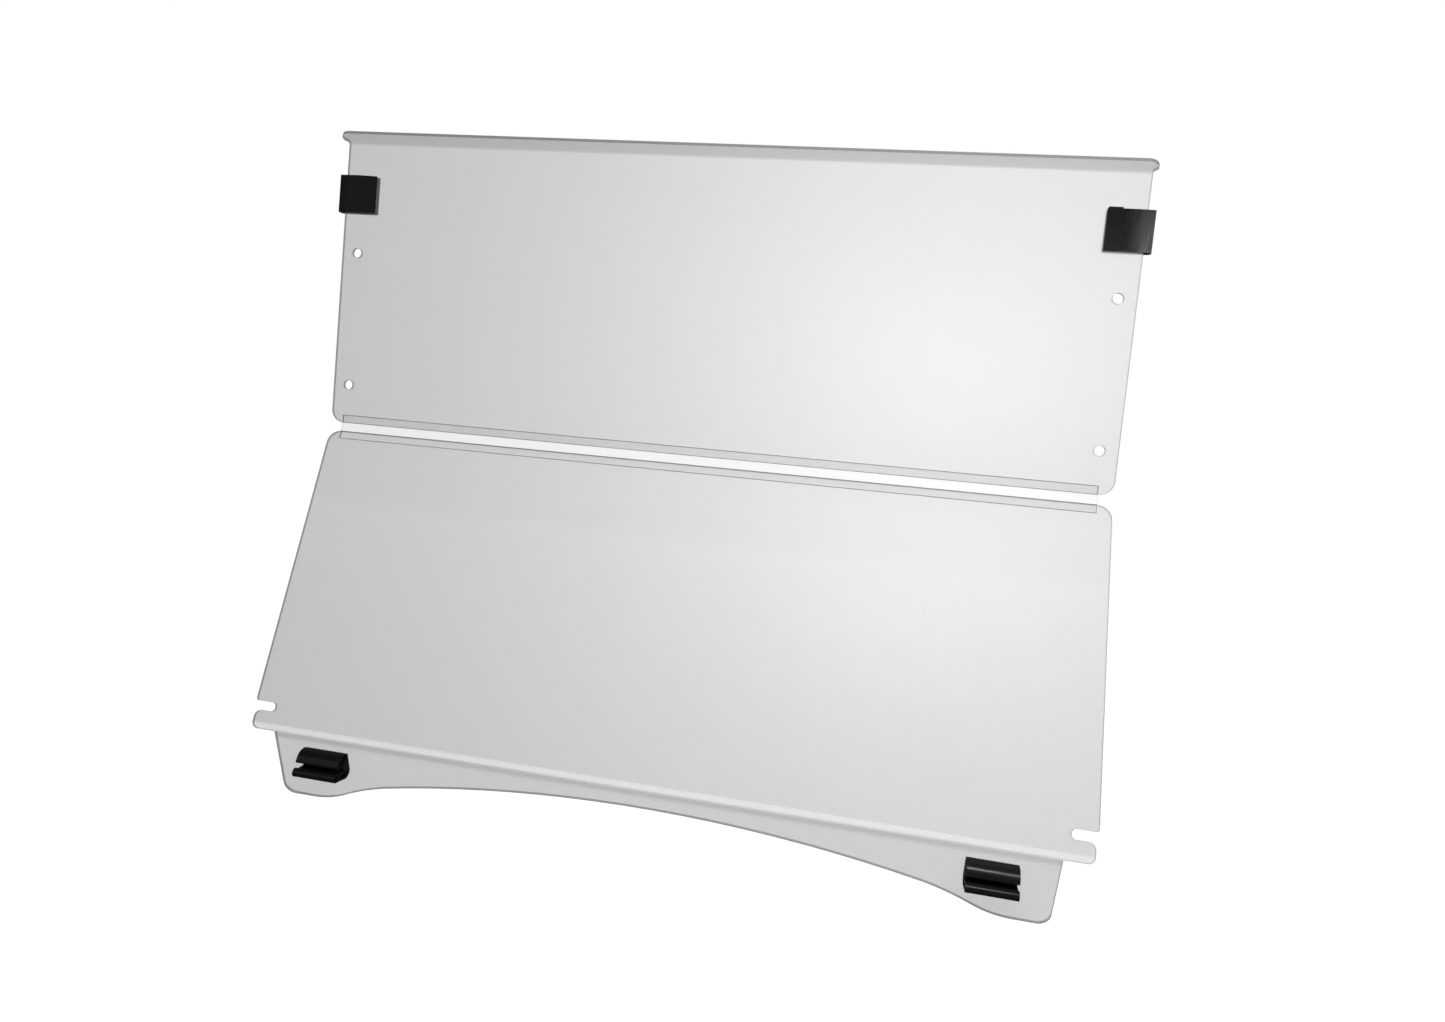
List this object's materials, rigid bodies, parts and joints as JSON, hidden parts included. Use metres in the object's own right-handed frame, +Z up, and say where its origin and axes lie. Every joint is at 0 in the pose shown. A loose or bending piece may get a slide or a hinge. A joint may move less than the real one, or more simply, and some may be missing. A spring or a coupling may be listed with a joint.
{
  "type": "sneeze guard",
  "caption": "Clear two-panel sneeze guard with a flexible strip hinge, a top flange, an arched skirt and black push-on clips.",
  "frame": {"origin": "centre of the four mounting holes, on the upper panel's back face", "axes": "+X to the right along the hinge, +Y to the back along the mounting holes, +Z up the upper panel"},
  "size_m": [0.7744, 0.1191, 0.6466],
  "materials": {
    "clear_sheet": "clear cast acrylic, polished",
    "clear_strip": "clear extruded vinyl, glossy",
    "bond_tape": "clear bonding tape",
    "black_plastic": "black extruded plastic, satin",
    "foam_tape": "black closed-cell foam tape"
  },
  "bodies": {
    "upper": {"upper_panel": "clear_sheet", "hinge_upper_leaf": "clear_strip", "hinge_upper_bond": "bond_tape", "hinge_web": "clear_strip", "edge_clip_left": "black_plastic", "edge_clip_right": "black_plastic", "edge_pad_left": "foam_tape", "edge_pad_right": "foam_tape"},
    "lower": {"lower_panel": "clear_sheet", "hinge_lower_leaf": "clear_strip", "hinge_lower_bond": "bond_tape", "rail_clip_left": "black_plastic", "rail_clip_right": "black_plastic", "rail_pad_left": "foam_tape", "rail_pad_right": "foam_tape"}
  },
  "joints": [
    {"name": "lower_panel_fold", "type": "hinge", "parent": "upper", "child": "lower", "pos_m": [0, -0.0039, -0.1097], "axis": [-1, 0, 0], "range_deg": [-110, 140], "deforming": ["hinge_web"]}
  ]
}
